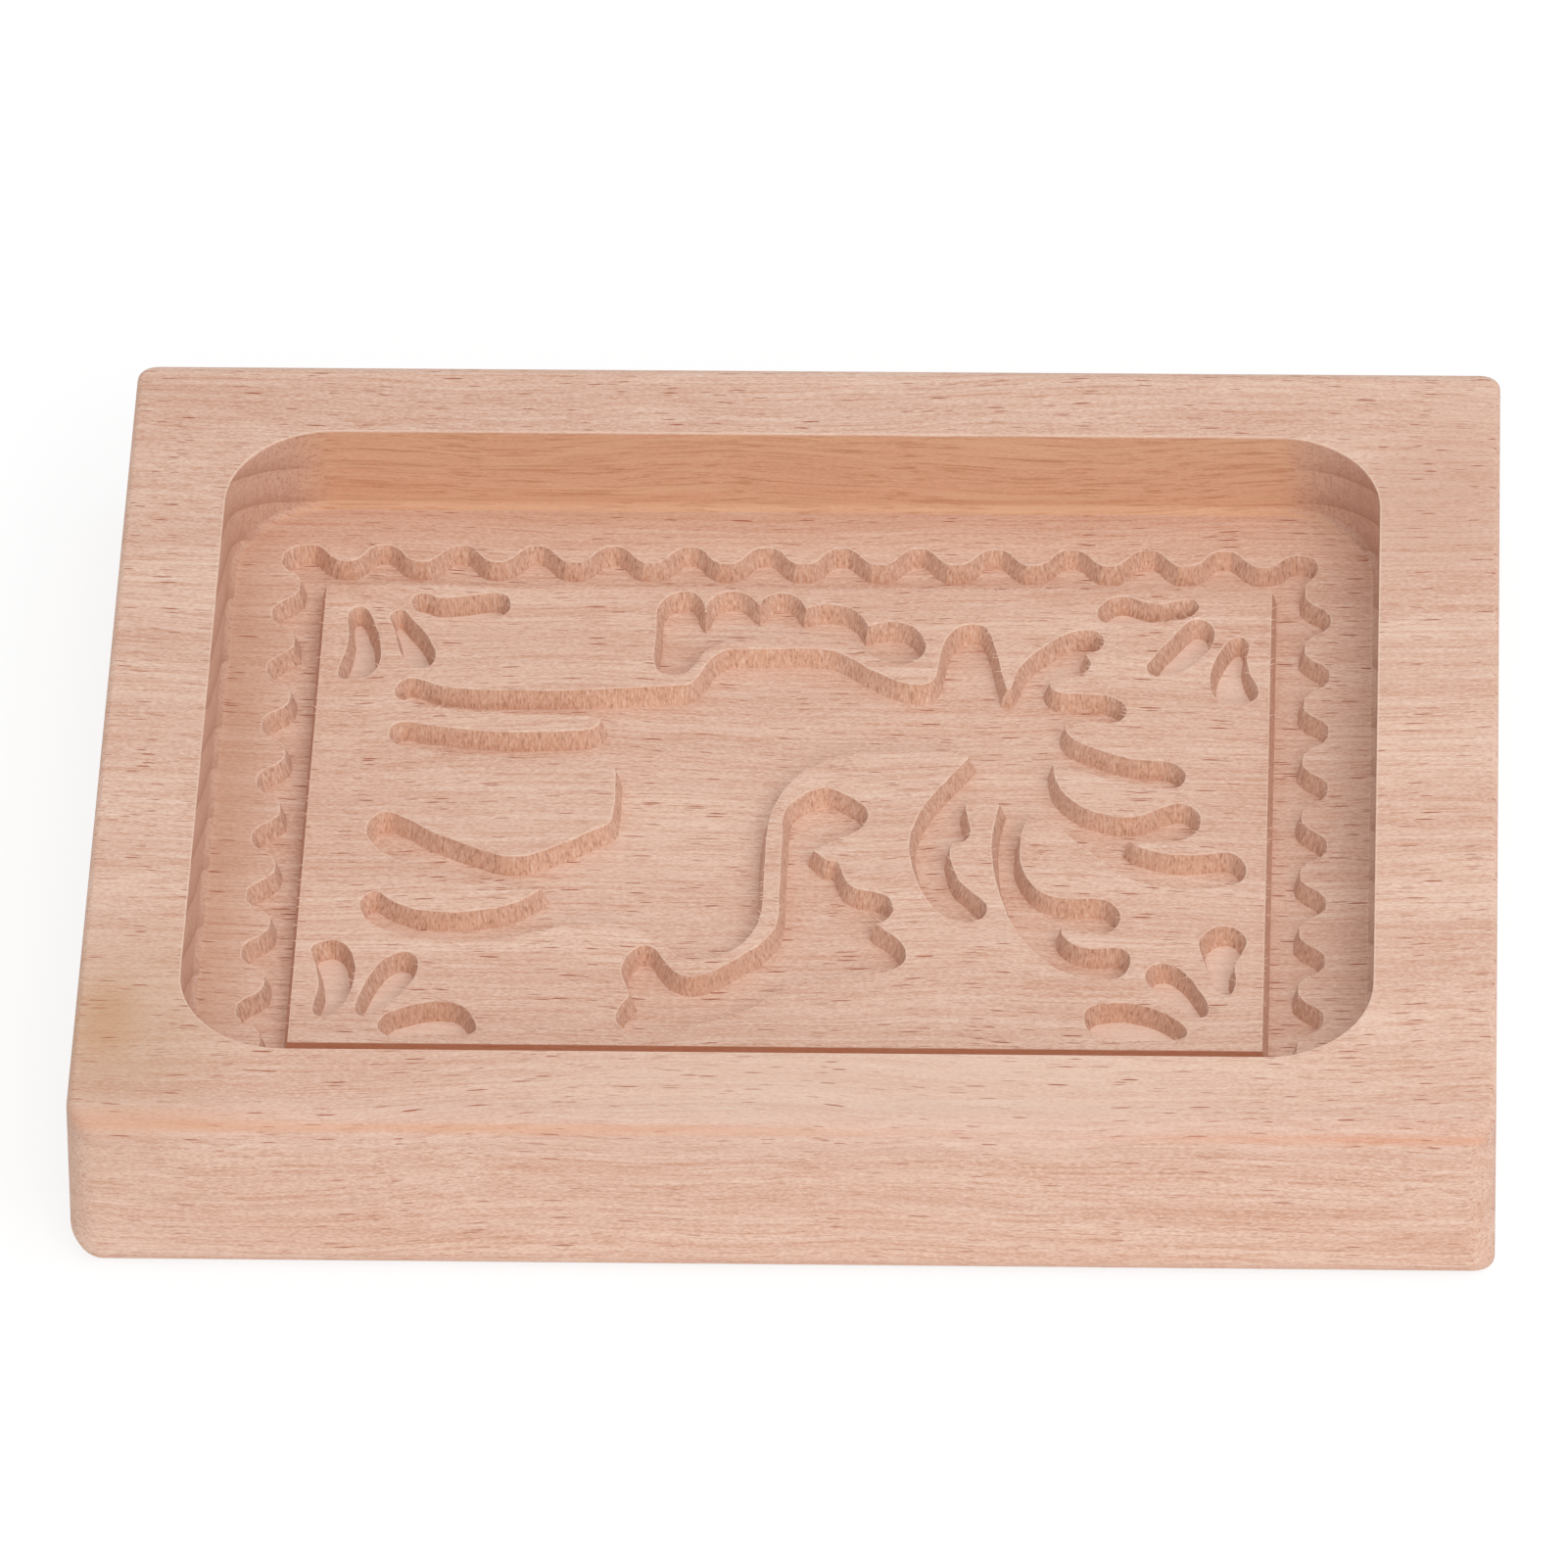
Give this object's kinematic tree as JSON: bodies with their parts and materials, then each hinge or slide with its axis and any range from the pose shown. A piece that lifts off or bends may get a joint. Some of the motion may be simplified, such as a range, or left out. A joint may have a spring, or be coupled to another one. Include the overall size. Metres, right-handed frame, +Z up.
{
  "type": "cookie mould",
  "caption": "Rectangular beech mould for figure biscuits: rounded board, sunken tray, scalloped channel, and a carved folk animal with corner leaves.",
  "frame": {"origin": "middle of the underside", "axes": "+X along the board and its grain, towards the end that the animal's head points to; +Y across the board, towards the side that the animal faces; +Z up, out of the carved face"},
  "size_m": [0.15, 0.12, 0.022],
  "materials": {
    "beech": "bare, sanded rims, cut walls"
  },
  "bodies": {
    "root": {"mould": "beech"}
  },
  "joints": []
}
